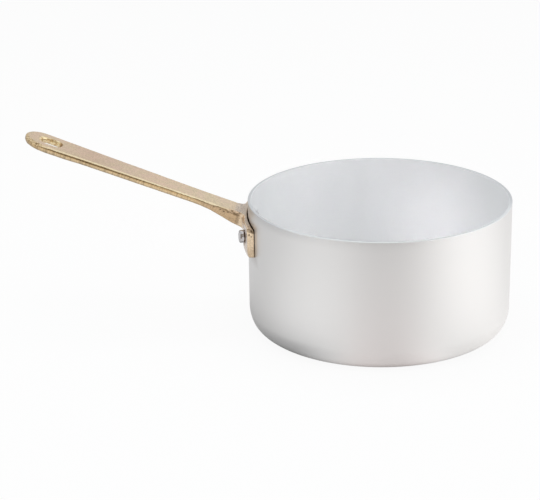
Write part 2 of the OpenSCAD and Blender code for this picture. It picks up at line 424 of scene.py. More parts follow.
cast_step = 0.3 * mm
bar_l = 142.5 * mm
bar_t = 4 * mm
tip_r = 11.7 * mm
tip_start = bar_l - tip_r
neck_half = 8.65 * mm
side_stations = [0, 33 * mm, 94 * mm, tip_start]
side_widths = [neck_half, neck_half, 10.4 * mm, tip_r]
slot_inset = 9.9 * mm
slot_half = 6.3 * mm
slot_mid = bar_l - slot_inset - slot_half
slot_straight = 2.2 * mm
slot_r = 4.1 * mm
slot_flare = 1.0 * mm
bar_slope = math.radians(20.25)
bar_along = Vector((-math.cos(bar_slope), 0, math.sin(bar_slope)))
bar_up = Vector((math.sin(bar_slope), 0, math.cos(bar_slope)))
bar_start = Vector((-pan_r, 0, bar_top_z))
flange_t = 3.2 * mm
flange_face_r = 104 * mm
flange_axis_x = flange_face_r - pan_r - flange_t
cast_fillet_r = 4.5 * mm
worn_fillet_r = 2.6 * mm
skin_depth = 3 * mm
near_reach = 2.5 * mm
# Depth of the ground facet under the top edge, and the width of that edge's own bevel, in mm
facet_stations = [12, 22, 60, 80, 100, 118, 131, 138]
facet_depths = [0, 0.7, 0.95, 1.45, 1.55, 1.45, 1.1, 0.4]
bevel_stations = [0, 3, 6, 9, 13, 20, 45, 70, 120, 130, 136, 142]
bevel_widths = [0.9, 2.2, 1.9, 1.4, 1.0, 0.8, 0.65, 0.38, 0.3, 0.9, 2.0, 1.3]
bevel_reach = 6 * mm
bevel_ripple = 2.2 * mm
bevel_wave = 9 * mm
# How far a facet leans in for each mm of its height, and how much of the grinding the far
# side gets
facet_lean = 0.36
facet_run = in_mm(1, 4)
flank_lean = 0.10
far_side_share = 0.4
far_bevel_share = 0.1
# Where the ground edge leaves the solid's outline: the stretch of the bar, then how far
belly_run = in_mm(104, 117, 126, 135)
belly_out = 0.4 * mm
belly_down = 0.32 * mm
shoulder_run = in_mm(133, 138)
shoulder_back = 0.3 * mm
keel_run = in_mm(2, 8, 24, 34)
keel_down = 0.33 * mm
nick_depth = 0.15 * mm
nick_size = 1.3 * mm
nick_run = in_mm(4, 12)
# The flange: a groove along the wall, worn ends, and an outer face that swells low down
groove_reach = 0.9 * mm
groove_depth = 0.6 * mm
groove_lid = 2.5 * mm
groove_end_cut = 0.2 * mm
groove_end_reach = 2.5 * mm
end_wear = 2.4 * mm
end_wear_reach = 4 * mm
end_cut = 0.35 * mm
end_drop = 0.3 * mm
end_drop_reach = 3.5 * mm
swell_span = in_mm(8, 17, 26, 30)
swell_height = in_mm(63, 56)
swell_out = 0.45 * mm
swell_reach = 3 * mm
# The slot: its near lip is worn down, and its far bottom edge is cut back
lip_reach = 2.6 * mm
lip_down = 0.75 * mm
lip_side = in_mm(1, 3)
cut_reach = 2.5 * mm
cut_back = 1.4 * mm
cut_side = in_mm(0.5, 3)
# The cast skin: the size and the height of each kind of lump
fine_lump, fine_height = in_mm(0.8, 0.03)
wide_lump, wide_height = in_mm(3.2, 0.05)
root_lump, root_height = in_mm(1.0, 0.17)
slot_lump, slot_height = in_mm(1.7, 0.2)
tip_lump, tip_height = in_mm(1.8, 0.16)
# Where the lumps of the root and the tip lie, from the edge of each stretch into it
root_lumps_from = in_mm(2, 4)
root_lumps_to = in_mm(10, 7)
root_lumps_side = in_mm(-10, -8)
root_lumps_depth = in_mm(-1, -0.4)
tip_lumps_from = [bar_l - inset for inset in in_mm(17, 5)]
slot_wall_reach = 0.5 * mm
# Casting pits: centre in mm, direction, face normal, half length, half width and depth in mm
pits = [
    ((-76.1, -29.5, 69.05), (0.69, 0, -0.72), (0, 1, 0), 1.1, 0.46, 0.30),
    ((-77.5, -29.5, 66.6), (1, 0, 0), (0, 1, 0), 0.5, 0.4, 0.3),
    ((-76.2, -29.5, 65.5), (0.7, 0, -0.7), (0, 1, 0), 0.42, 0.3, 0.22),
    ((-94.2, -8.65, 74.15), (0.9, 0, -0.43), (0, 1, 0), 0.8, 0.3, 0.3),
    ((-91.7, -8.65, 73.7), (0.94, 0, -0.35), (0, 1, 0), 0.6, 0.3, 0.25),
    ((-96.35, -8.65, 75.5), (1, 0, -0.1), (0, 1, 0), 0.7, 0.28, 0.2),
    ((-100.1, -8.65, 77.1), (0.9, 0, -0.4), (0, 1, 0), 0.6, 0.28, 0.2),
    ((-84.4, -8.9, 73.0), (0.25, -0.97, 0), bar_up, 1.6, 0.45, 0.15),
]
pit_reach = 1.2
pit_steepness = 1.2


def smooth_field(points, size, seed):
    """A smooth random value from about -1 to 1 at each point, with lumps of one size."""
    shift = Vector((seed, 2.3 * seed, -1.7 * seed))
    return np.array([noise.noise(Vector(p) / size + shift) for p in points])


def rise(value, start, end):
    """0 before start, 1 after end and a smooth step between them."""
    t = np.clip((value - start) / (end - start), 0, 1)
    return t * t * (3 - 2 * t)


def swell(value, start, full, fade, end):
    """0 at start, 1 from full to fade and 0 again at end, with smooth steps."""
    return rise(value, start, full) * (1 - rise(value, fade, end))


def near_zero(value, reach):
    """1 where the value is 0 or less, and evenly down to 0 where it is the reach."""
    return np.clip(1 - value / reach, 0, 1)


def remeshed(source, name, step, rounds):
    """A solid's mesh in even small faces, with its sharp edges worn a little round."""
    piece = in_scene(name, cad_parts[source].data.copy())
    skin = piece.modifiers.new("skin", "REMESH")
    skin.mode = "VOXEL"
    skin.voxel_size = step
    soften = piece.modifiers.new("soften", "SMOOTH")
    soften.factor = 0.5
    soften.iterations = rounds
    return applied(piece, name)


def numbers(mesh, what):
    """The mesh's points or normals as one array with a row for each vertex."""
    values = np.zeros(len(mesh.vertices) * 3)
    mesh.vertices.foreach_get(what, values)
    return values.reshape(-1, 3)


def reshaped(mesh, points):
    """Puts the moved points back into the mesh."""
    mesh.vertices.foreach_set("co", points.ravel())
    mesh.update()


def drawn_back(points, source, share):
    """The points moved part of the way back to the solid's own surface, so edges stay crisp."""
    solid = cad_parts[source].data
    faces = [tuple(face.vertices) for face in solid.polygons]
    skin = BVHTree.FromPolygons([v.co for v in solid.vertices], faces)
    nearest = np.array([skin.find_nearest(Vector(p))[0] for p in points])
    return points + share * (nearest - points)


def plan_inset(points, run, fillet_r):
    """How far points lie inside the handle's outline in plan, and the way out of it."""
    past = np.maximum(run - tip_start, 0)
    y = points[:, 1]
    half_width = np.interp(run, side_stations, side_widths)
    bar_in = np.where(past > 0, tip_r - np.hypot(past, y), half_width - np.abs(y))
    bar_out = past[:, None] * np.array(bar_along) + y[:, None] * np.array((0, 1, 0))
    flange_out = points * (1, 1, 0) - (flange_axis_x, 0, 0)
    flange_in = flange_face_r - np.linalg.norm(flange_out, axis=1)
    to_bar = np.maximum(fillet_r + bar_in, 0)
    to_flange = np.maximum(fillet_r + flange_in, 0)
    bar_out /= np.maximum(np.linalg.norm(bar_out, axis=1), 1e-9)[:, None]
    flange_out /= np.linalg.norm(flange_out, axis=1)[:, None]
    out = to_bar[:, None] * bar_out + to_flange[:, None] * flange_out
    out /= np.maximum(np.linalg.norm(out, axis=1), 1e-9)[:, None]
    return np.hypot(to_bar, to_flange) - fillet_r, out


def places_on_bar(points):
    """Where each point lies on the bar, and how much of it belongs to each side and face.

    The run is measured along the bar from the wall, and the height from its top face, so
    that it is below 0 in the metal. The inset is how far a point lies inside the outline
    in plan, and out is the shortest way there. near is 1 on the camera's side.
    """
    from_start = points - np.array(bar_start)
    run = from_start @ np.array(bar_along)
    height = from_start @ np.array(bar_up)
    inset, out = plan_inset(points, run, cast_fillet_r)
    half = height / (bar_t / 2)
    return SimpleNamespace(
        run=run, height=height, inset=inset, out=out,
        worn_inset=plan_inset(points, run, worn_fillet_r)[0],
        near=rise(-points[:, 1], 0, near_reach),
        skin=near_zero(inset, skin_depth),
        upper=np.clip(1 + half, 0, 1),
        under=np.clip(-1 - half, 0, 1),
    )


def grind_sides(points, at):
    """Leans the hand-ground facets in, and dresses the edge to the real outline."""
    facet = np.interp(at.run / mm, facet_stations, facet_depths) * mm
    cut = facet_lean * np.clip(facet + at.height, 0, None) * rise(at.run, *facet_run)
    cut += flank_lean * np.clip(-at.height - bar_t / 2, 0, bar_t / 2)
    belly = swell(at.run, *belly_run) * at.near
    shift = belly_out * belly - cut * (far_side_share + (1 - far_side_share) * at.near)
    shift -= shoulder_back * rise(at.run, *shoulder_run) * at.near
    shift -= np.maximum(at.inset - at.worn_inset, 0) * at.near
    points += at.out * (shift * at.skin)[:, None]
    down = belly_down * belly * at.under * at.skin + keel_down * swell(at.run, *keel_run) * at.under
    points -= np.array(bar_up) * down[:, None]


def bevel_edges(points, at):
    """Takes the top edge off at an uneven width, and nicks the lower one."""
    uneven = 1 + 0.5 * smooth_field(points, bevel_ripple, 5.5)
    uneven += 0.6 * smooth_field(points, bevel_wave, 6.5)
    bevel = np.interp(at.run / mm, bevel_stations, bevel_widths) * mm * uneven
    bevel *= far_bevel_share + (1 - far_bevel_share) * at.near
    over = np.clip(bevel + at.height - at.inset, 0, None) * (at.inset < bevel_reach)
    points -= (at.out + np.array(bar_up)) * (over / 2)[:, None]
    nicks = np.abs(smooth_field(points, nick_size, 15.5)) * at.under * at.skin
    nicks *= rise(at.run, *nick_run)
    points -= at.out * (nick_depth * nicks)[:, None]


def dress_flange(points, at):
    """Opens a groove along the wall, wears the flange's ends and fills its outer face."""
    behind = points[:, 0] < 0
    side = np.sign(points[:, 1])
    wall_gap = np.hypot(points[:, 0], points[:, 1]) - pan_r
    groove = near_zero(wall_gap, groove_reach) * behind
    lid = np.clip(1 + at.height / groove_lid, 0, 1)
    points -= np.array(bar_up) * (groove_depth * groove * lid)[:, None]
    end_inset = flange_half - np.abs(points[:, 1])
    points[:, 1] -= side * groove_end_cut * groove * near_zero(end_inset, groove_end_reach)
    corner = near_zero(end_inset - at.height, end_wear) * (end_inset < end_wear_reach)
    points[:, 1] -= side * end_cut * corner
    points[:, 2] -= end_drop * corner * np.clip(1.2 - wall_gap / end_drop_reach, 0.3, 1)
    full = swell(np.abs(points[:, 1]), *swell_span) * behind
    full = full * rise(points[:, 2], *swell_height) * np.clip(wall_gap / swell_reach, 0, 1)
    points[:, 0] -= swell_out * full


def wear_slot(points, at):
    """Wears the slot's near lip and cuts its far bottom edge back. Returns the distance from it."""
    y = points[:, 1]
    from_edge = np.hypot(np.maximum(np.abs(at.run - slot_mid) - slot_straight, 0), y) - slot_r
    lip = near_zero(from_edge, lip_reach) * rise(-y, *lip_side) * at.upper
    points -= np.array(bar_up) * (lip_down * lip)[:, None]
    cut = near_zero(from_edge, cut_reach) * rise(y, *cut_side) * at.under ** 1.3
    points[:, 1] += cut_back * cut
    return from_edge


def pit_axes(along, through):
    """The three directions of a pit: along it, across it and into the metal."""
    return Vector(along).normalized(), Vector(along).cross(Vector(through)).normalized(), Vector(through)


def cast_relief(points, at, from_slot_edge):
    """How far the sand-cast skin stands proud of each point, with the pits as hollows."""
    root = rise(at.run, *root_lumps_to) * rise(at.run, *root_lumps_from)
    root *= rise(-np.abs(points[:, 1]), *root_lumps_side) * rise(at.height, *root_lumps_depth)
    slot_wall = from_slot_edge < slot_wall_reach
    tip = rise(at.run, *tip_lumps_from) * at.near * at.skin
    push = smooth_field(points, fine_lump, 3.1) * fine_height
    push += smooth_field(points, wide_lump, 7.7) * wide_height
    push += smooth_field(points, root_lump, 23.5) * root_height * root
    push += smooth_field(points, slot_lump, 9.4) * slot_height * slot_wall
    push += smooth_field(points, tip_lump, 12.5) * tip_height * tip
    for centre, along, through, half_length, half_wide, depth in pits:
        away = points / mm - np.array(centre)
        spans = (half_length, half_wide, pit_reach)
        shares = [away @ np.array(axis) / span for axis, span in zip(pit_axes(along, through), spans)]
        push -= depth * mm * np.exp(-pit_steepness * sum(share ** 2 for share in shares))
    return push


def cast_mesh(name):
    """The handle's solid, ground at its edges, pitted, and with a sand-cast skin."""
    mesh = remeshed("handle", name, cast_step, 3)
    points = drawn_back(numbers(mesh, "co"), "handle", 0.7)
    at = places_on_bar(points)
    grind_sides(points, at)
    bevel_edges(points, at)
    dress_flange(points, at)
    from_slot_edge = wear_slot(points, at)
    reshaped(mesh, points)
    push = cast_relief(points, at, from_slot_edge)
    reshaped(mesh, points + numbers(mesh, "normal") * push[:, None])
    return mesh


def dotted(tree, vector, direction):
    """The length of a vector along one fixed direction."""
    made = node(tree, "VectorMath", operation="DOT_PRODUCT")
    made.inputs[1].default_value = direction
    tree.links.new(vector, made.inputs[0])
    return made.outputs["Value"]


def within(tree, value, start, full, fade, end):
    """A share that rises from 0 at start to 1 at full, and falls from fade to 0 at end."""
    return product(tree, ramped(tree, value, start, full), ramped(tree, value, end, fade))


def pit_mask(tree, place, pit):
    """1 in one casting pit and 0 round it."""
    centre, along, through, half_length, half_wide, _ = pit
    spread = 0.0
    for axis, span in zip(pit_axes(along, through), (half_length, half_wide, pit_reach)):
        far_along = less(tree, dotted(tree, place, axis), axis.dot(Vector(centre)) * mm)
        share = maths(tree, "DIVIDE", far_along, span * mm)
        spread = maths(tree, "MULTIPLY_ADD", share, share, spread)
    return ramped(tree, spread, 0.45, 1.3, 1.0, 0.0)


def grey(tree, value):
    """A colour whose three parts are one value."""
    made = node(tree, "CombineColor")
    for socket in made.inputs:
        tree.links.new(value, socket)
    return made.outputs[0]


def colour_ramp(tree, value, stops):
    """A colour that follows a value through a list of positions and colours."""
    made = node(tree, "ValToRGB")
    elements = made.color_ramp.elements
    while len(elements) < len(stops):
        elements.new(0.5)
    for element, (position, colour) in zip(elements, stops):
        element.position = position
        element.color = (*colour, 1)
    tree.links.new(value, made.inputs[0])
    return made


# Tones of the cast skin along the bar: the share of its length from the wall, then the colour
patina_stops = [(0.0, (0.83, 0.70, 0.51)), (0.2, (0.805, 0.67, 0.49)), (0.4, (0.81, 0.645, 0.475)),
                (0.55, (0.77, 0.62, 0.465)), (0.7, (0.73, 0.565, 0.42)), (0.85, (0.78, 0.63, 0.46))]
# Stretches of the bar, from the wall, over which a tone comes in and, where four are given,
# goes out again
gusset_run = in_mm(1, 4, 20, 40)
flange_run = in_mm(7, 2)
root_run = in_mm(12, 9)
speck_run = in_mm(5, 6.5)
under_edge_shade_run = in_mm(15, 40)
golden_edge_run = in_mm(9, 15)
tip_edge_shade_run = in_mm(122, 132)
tip_speck_run = in_mm(128, 134)
slot_end_run = [slot_mid - inset for inset in in_mm(4.7, 5.9)]
slot_wide_run = [slot_mid + inset for inset in in_mm(3, 6)]
# Depths under the bar's top face
low_side_depth = in_mm(-1.9, -3.4)
under_edge_shade_depth = in_mm(-0.2, -0.8, -1.6, -2.5)
worn_depth = in_mm(-2.6, -1.5)
# The rivet's foot, the reach of the painted shadow round it, and the reach of the dirt and painted shade
# in the joint with the wall
rivet_foot_r = 3.1 * mm
rivet_shadow_reach = 3.6 * mm
cast_dirt_and_shade_reach = 0.55 * mm

brass, tree, shader = new_material("cast_brass")
shader.inputs["Metallic"].default_value = 1.0
place = node(tree, "TexCoord").outputs["Object"]
x, y, z = split_up(tree, place)
normal = node(tree, "NewGeometry").outputs["Normal"]
facing = dotted(tree, normal, bar_up)
run = less(tree, dotted(tree, place, bar_along), bar_start.dot(bar_along))
depth = less(tree, dotted(tree, place, bar_up), bar_start.dot(bar_up))
side_y = maths(tree, "ABSOLUTE", y)
marks = use_group(tree, handling_marks, Position=place, Smudge_scale=160.0)
grain = noisy(tree, place, 1200.0, 4.0, 0.7)

# Which skin a point has: filed round the slot, cast on the broad faces, or ground
off_mid = less(tree, maths(tree, "ABSOLUTE", less(tree, run, slot_mid)), slot_straight)
from_slot = diagonal(tree, maths(tree, "MAXIMUM", off_mid, 0.0), y)
from_slot = maths(tree, "MULTIPLY_ADD", y, -0.09, from_slot)
from_slot = less(tree, from_slot, ramped(tree, run, *slot_wide_run, 0.0, 0.8 * mm))
filed = ramped(tree, from_slot, slot_r + 0.6 * slot_flare, slot_r + slot_flare, 1.0, 0.0)
flange_end = ramped(tree, side_y, 23 * mm, 26 * mm)
cast_skin = ramped(tree, facing, 0.90, 0.975)
cast_skin = product(tree, cast_skin, all_but(tree, filed), all_but(tree, flange_end))
cast_skin = maths(tree, "MAXIMUM", cast_skin, ramped(tree, facing, -0.75, -0.92))
edge = product(tree, ramped(tree, facing, 0.38, 0.58), all_but(tree, cast_skin))
gusset = within(tree, run, *gusset_run)
flange = ramped(tree, run, *flange_run)
outer_face = ramped(tree, dotted(tree, normal, (-1, 0, 0)), 0.55, 0.9)

# The cast skin: a matte patina, greyer and speckled at the root
ragged = maths(tree, "MULTIPLY_ADD", noisy(tree, place, 350.0, 4.0, 0.6), 6 * mm, run)
root = ramped(tree, ragged, *root_run)
patina = colour_ramp(tree, maths(tree, "MULTIPLY", run, 1 / bar_l), patina_stops)
patch = ramped(tree, marks["Smudge"], 0.40, 0.60)
tint = blended(tree, patch, (0.985, 0.955, 0.99), (0.965, 0.975, 0.96))
matte = blended(tree, 1.0, patina.outputs[0], tint, "MULTIPLY")
matte = blended(tree, root, matte, (0.80, 0.69, 0.58))
dark_speck = product(tree, root, ramped(tree, ragged, *speck_run), ramped(tree, grain, 0.53, 0.40))
matte = blended(tree, dark_speck, matte, (0.56, 0.485, 0.43))
blotch = ramped(tree, noisy(tree, place, 430.0, 3.0, 0.6), 0.62, 0.40, 0.0, 0.11)
matte = blended(tree, blotch, matte, (0.42, 0.33, 0.25))

# The ground sides: golden and streaked, browner low down, with a painted dark reflection under the top
# edge, a worn top edge with a painted highlight, and painted shade on the far edge
ground = blended(tree, marks["Smudge"], (0.70, 0.525, 0.315), (0.78, 0.61, 0.39))
ground = blended(tree, ramped(tree, depth, *low_side_depth), ground, (0.52, 0.40, 0.255))
# Painted dark reflection in the band just under the top edge
under_edge_shade = within(tree, depth, *under_edge_shade_depth)
under_edge_shade = product(tree, under_edge_shade, ramped(tree, run, *under_edge_shade_run, 0.0, 0.85))
ground = blended(tree, under_edge_shade, ground, (0.60, 0.42, 0.215))
ground = blended(tree, gusset, ground, (0.55, 0.395, 0.245))
upper_flange = ramped(tree, z, 55 * mm, 61 * mm)
flange_tone = blended(tree, upper_flange, (0.60, 0.47, 0.33), (0.79, 0.63, 0.45))
# A paler tint on the flange's outer face: painted reflection of the pale room
flange_tone = blended(tree, outer_face, flange_tone, (0.80, 0.70, 0.62))
ground = blended(tree, flange, ground, flange_tone)
across = node(tree, "CombineXYZ")
for socket, value, scale in zip(across.inputs, (run, z, y), (900.0, 130.0, 60.0)):
    tree.links.new(maths(tree, "MULTIPLY", value, scale), socket)
linished = ramped(tree, noisy(tree, across.outputs[0], 1.0, 3.0, 0.6), 0.36, 0.58, 0.76, 1.08)
plain_side = all_but(tree, maths(tree, "MAXIMUM", flange, maths(tree, "MULTIPLY", gusset, 0.65)))
linished = maths(tree, "MULTIPLY_ADD", less(tree, linished, 1.0), plain_side, 1.0)
ground = blended(tree, 1.0, ground, grey(tree, linished), "MULTIPLY")
# The ground edge: worn bright and with a painted highlight along the bar, painted shade at the tip and a
# painted dark line on the far edge
edge_tone_and_light = blended(tree, ramped(tree, run, *golden_edge_run), (0.86, 0.66, 0.47), (0.98, 0.81, 0.55))
edge_tone_and_light = blended(tree, ramped(tree, run, *tip_edge_shade_run), edge_tone_and_light, (0.82, 0.65, 0.41))
far_edge_shade = ramped(tree, dotted(tree, normal, (0, 1, 0)), 0.1, 0.35)
edge_tone_and_light = blended(tree, far_edge_shade, edge_tone_and_light, (0.52, 0.43, 0.33))
ground = blended(tree, edge, ground, edge_tone_and_light)
speckled = product(tree, ramped(tree, run, *tip_speck_run), ramped(tree, grain, 0.56, 0.44))
ground = blended(tree, speckled, ground, (0.56, 0.40, 0.22))
tone = blended(tree, cast_skin, ground, matte)

# The filed slot, the grain of the sand, the pits, the dirt and painted shade in the joint, and the
# painted shadow round the rivets
file_marks = ramped(tree, noisy(tree, place, 480.0), 0.38, 0.58)
filed_tone = blended(tree, file_marks, (0.66, 0.46, 0.23), (0.95, 0.79, 0.50))
filed_tone = blended(tree, ramped(tree, run, *slot_end_run), filed_tone, (0.36, 0.21, 0.09))
tone = blended(tree, filed, tone, filed_tone)
sand = ramped(tree, grain, 0.3, 0.7, 0.84, 1.16)
tone = blended(tree, 1.0, tone, grey(tree, sand), "MULTIPLY")
hollow = 0.0
for pit in pits:
    hollow = maths(tree, "MAXIMUM", hollow, pit_mask(tree, place, pit))
tone = blended(tree, maths(tree, "MULTIPLY", hollow, 0.85), tone, (0.10, 0.07, 0.045))
# Dirt and painted shade on the flange along its joint with the wall, darkest high up
wall_gap = less(tree, diagonal(tree, x, y), pan_r)
dirt_and_shade = use_group(tree, joint_dirt_and_shade, Position=place, Distance=wall_gap, Reach=cast_dirt_and_shade_reach)["Dirt"]
high_up = ramped(tree, z, 55 * mm, 62 * mm)
dirt_and_shade_tone = blended(tree, high_up, (0.52, 0.41, 0.30), (0.21, 0.155, 0.11))
tone = blended(tree, dirt_and_shade, tone, dirt_and_shade_tone)
# Painted shadow and dark reflection of the rivet heads on the flange's outer face, with some dirt at
# their feet
beside_rivet = maths(tree, "MULTIPLY", side_y, math.cos(rivet_turn))
beside_rivet = maths(tree, "MULTIPLY_ADD", x, math.sin(rivet_turn), beside_rivet)
beside_rivet = maths(tree, "MULTIPLY", beside_rivet, 0.75)
from_rivet = diagonal(tree, beside_rivet, less(tree, z, rivet_z))
foot = less(tree, from_rivet, rivet_foot_r)
dirt_and_shade = use_group(tree, joint_dirt_and_shade, Position=place, Distance=foot, Reach=rivet_shadow_reach)["Dirt"]
tone = blended(tree, product(tree, dirt_and_shade, outer_face), tone, (0.33, 0.24, 0.17))
tree.links.new(tone, shader.inputs["Base Color"])

rough = maths(tree, "MULTIPLY_ADD", cast_skin, 0.32, 0.22)
rough = maths(tree, "MULTIPLY_ADD", filed, 0.1, rough)
at_root = ramped(tree, run, 7 * mm, 5.5 * mm)
worn = maths(tree, "MAXIMUM", ramped(tree, depth, *worn_depth), at_root)
worn = product(tree, worn, ramped(tree, run, 2.5 * mm, 4.5 * mm))
worn = product(tree, worn, ramped(tree, run, 21 * mm, 14 * mm, 0.0, 0.48))
rough = maths(tree, "MAXIMUM", rough, worn)
rough = maths(tree, "MULTIPLY_ADD", marks["Smudge"], 0.12, rough)
tree.links.new(rough, shader.inputs["Roughness"])
bump = node(tree, "Bump", Strength=0.3, Distance=0.00022)
tree.links.new(noisy(tree, place, 1500.0, 4.0, 0.65), bump.inputs["Height"])
tree.links.new(bump.outputs[0], shader.inputs["Normal"])
handle = placed("handle_casting", cast_mesh("handle_casting"), brass)
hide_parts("handle")

# The two rivets: soft aluminium, put through from inside the pan and hammered into a
# thick drum of a head outside. The heads keep the hammer's small flats and go dull and
# grey, with dark dirt and painted shade round their feet, and inside the pan only a low dome shows.
rivet_turns = 120
shank_r = 2.5 * mm
shank_step = 0.6 * mm
shank_rings = 9
head_r = 3.95 * mm
head_h = 3 * mm
head_round = 0.75 * mm
head_waist = head_r - 0.1 * mm
head_foot = head_r - 0.25 * mm
head_step = 0.18 * mm
head_rings = 12
top_rings = 14
face_gap = 0.02 * mm
inner_head_r = 3.3 * mm
inner_head_h = 0.4 * mm
inner_gap = 0.14 * mm
dome_steps = 10
dome_lip = 0.1 * mm
foot_dirt_and_shade_reach = 0.6 * mm
# The hammer's flats: round the side first, then on the top edge. Tilts are in degrees
side_flats = 9
all_flats = 15
side_tilts = (-6, 14)
edge_tilts = (35, 80)
flat_depths = (0.10, 0.28)
# Dents between them, which may rise by no more than dent_rise, and a bruise to one side
dent_size = 1.2 * mm
dent_height = 0.14 * mm
dent_mean = -0.05 * mm
dent_rise = 0.02 * mm
bruise_r = 0.8 * mm
bruise_depth = 0.4 * mm
hammer_seeds = {"front": 4, "back": 9}


def drum_section(face):
    """Half section of a set rivet: its low inner dome, its shank and its outer drum."""
    low = inner_r - inner_gap
    dome_r = (inner_head_r ** 2 + inner_head_h ** 2) / (2 * inner_head_h)
    crown = low - inner_head_h
    spread = math.asin(inner_head_r / dome_r)
    angles = [spread * i / dome_steps for i in range(dome_steps + 1)]
    section = [(dome_r * math.sin(a), crown + dome_r * (1 - math.cos(a))) for a in angles]
    section += [(inner_head_r - dome_lip, low + 0.04 * mm), (shank_r, low + 0.05 * mm)]
    section += [(shank_r, inner_r + k * shank_step) for k in range(1, shank_rings + 1)]
    section += [(shank_r, face + face_gap), (head_foot, face + face_gap)]
    for k in range(1, head_rings + 1):
        bulge = (head_r - head_waist) * math.sin(math.pi * k / head_rings)
        section.append((head_waist + bulge, face + k * head_step))
    top_r = head_waist - head_round
    section += arc_points(top_r, face + head_h - head_round, head_round, 0, 90, 6)[1:]
    section += [(top_r * (1 - k / top_rings), face + head_h) for k in range(1, top_rings + 1)]
    return section


def hammered_mesh(name, side, seed):
    """A set rivet whose outer head is cut by small flats and dents, as a hammer leaves them."""
    axis = np.array(rivet_axis(side))
    upright = np.array((0, 0, 1))
    solid = numbers(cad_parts["rivet_" + name].data, "co")
    face = (solid @ axis).max() - head_h
    mesh = revolved("rivet_" + name + "_set", drum_section(face), rivet_turns)
    mesh.transform(rivet_axis(side).to_track_quat("Z", "Y").to_matrix().to_4x4())
    mesh.transform(Matrix.Translation((0, 0, rivet_z)))
    points = numbers(mesh, "co")
    middle = axis * (face + 0.5 * head_h) + upright * rivet_z
    on_head = rise(points @ axis - face, 0.15 * mm, 0.7 * mm)
    across = np.cross(axis, upright)
    rng = np.random.default_rng(seed)
    for k in range(all_flats):
        turn = 2 * math.pi * (k + rng.uniform(-0.3, 0.3)) / side_flats
        tilt = math.radians(rng.uniform(*(side_tilts if k < side_flats else edge_tilts)))
        flat = math.cos(tilt) * (math.cos(turn) * across + math.sin(turn) * upright)
        flat = flat + math.sin(tilt) * axis
        reach = ((points - middle) @ flat).max() - rng.uniform(*flat_depths) * mm
        over = np.maximum((points - middle) @ flat - reach, 0) * on_head
        points -= flat * over[:, None]
    dents = smooth_field(points, dent_size, 20.5 + seed) * dent_height + dent_mean
    bruise = middle - np.cross(upright, axis) * side * head_r
    from_bruise = np.linalg.norm(points - bruise, axis=1)
    dents -= bruise_depth * np.exp(-((from_bruise / bruise_r) ** 2))
    reshaped(mesh, points)
    dents = np.minimum(dents, dent_rise) * on_head
    reshaped(mesh, points + numbers(mesh, "normal") * dents[:, None])
    return mesh


dull, tree, shader = new_material("rivet_aluminium")
shader.inputs["Metallic"].default_value = 1.0
place = node(tree, "TexCoord").outputs["Object"]
x, y, z = split_up(tree, place)
marks = use_group(tree, handling_marks, Position=place, Smudge_scale=520.0)
# Dirt and painted shade round the foot of the head, where it meets the flange
along = maths(tree, "MULTIPLY", x, -math.cos(rivet_turn))
along = maths(tree, "MULTIPLY_ADD", maths(tree, "ABSOLUTE", y), math.sin(rivet_turn), along)
foot = maths(tree, "ABSOLUTE", less(tree, along, pan_r + flange_t + swell_out))
dirt_and_shade = use_group(tree, joint_dirt_and_shade, Position=place, Distance=foot, Reach=foot_dirt_and_shade_reach)["Dirt"]
mottle = ramped(tree, marks["Smudge"], 0.38, 0.62)
tone = blended(tree, mottle, (0.42, 0.405, 0.405), (0.80, 0.78, 0.79))
tone = blended(tree, dirt_and_shade, tone, (0.34, 0.27, 0.22))
tree.links.new(tone, shader.inputs["Base Color"])
tree.links.new(maths(tree, "MULTIPLY_ADD", mottle, 0.15, 0.2), shader.inputs["Roughness"])
for name, side in (("front", -1), ("back", 1)):
    rivet = placed("rivet_" + name + "_set", hammered_mesh(name, side, hammer_seeds[name]), dull)
    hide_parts("rivet_" + name)

# The studio round the pan, for its light alone: a white table and a pale room, dim and warm
# behind the camera, with a large soft box on the right, a smaller one on the left and two
# narrow beams into the pan. Metal shows it by glossy rays, and the camera sees plain white.
overhead_level = 0.88
table_reach = 4.0
# How bright the room is at each bearing round the pan, in degrees to the right of the camera
front_level_stops = [(-180, 0.95), (-140, 0.70), (-100, 0.74), (-75, 0.83), (-45, 1.28), (-22, 1.08),
                     (2, 0.74), (20, 0.77), (42, 1.35), (74, 1.79), (105, 1.22), (135, 1.01),
                     (180, 0.95)]


def build_room_light():
    """How bright the studio is in a direction: by its bearing round the pan, and overhead."""
    tree, given, out = new_group("room_light", {"Direction": None}, ["Level", "Front", "Bearing"])
    unit = node(tree, "VectorMath", operation="NORMALIZE")
    tree.links.new(given["Direction"], unit.inputs[0])
    x, y, z = split_up(tree, unit.outputs[0])
    to_camera = maths(tree, "MULTIPLY", y, -1.0)
    bearing = maths(tree, "ARCTAN2", x, to_camera)
    tree.links.new(bearing, out["Bearing"])
    stops = [((angle + 180) / 360, [level / 2] * 3) for angle, level in front_level_stops]
    ramp = colour_ramp(tree, maths(tree, "MULTIPLY_ADD", bearing, 0.5 / math.pi, 0.5), stops)
    ramp.color_ramp.interpolation = "B_SPLINE"
    level = node(tree, "Mix")
    tree.links.new(ramped(tree, z, 0.45, 0.85), level.inputs["Factor"])
    tree.links.new(maths(tree, "MULTIPLY", ramp.outputs[0], 2.0), level.inputs["A"])
    level.inputs["B"].default_value = overhead_level
    tree.links.new(level.outputs[0], out["Level"])
    tree.links.new(ramped(tree, to_camera, 0.45, 0.9), out["Front"])
    return tree


def mixed(tree, share, first, second):
    """A shader between two others, each given by its node."""
    made = node(tree, "MixShader")
    for socket, value in zip(made.inputs, (share, first.outputs[0], second.outputs[0])):
        tree.links.new(value, socket)
    return made


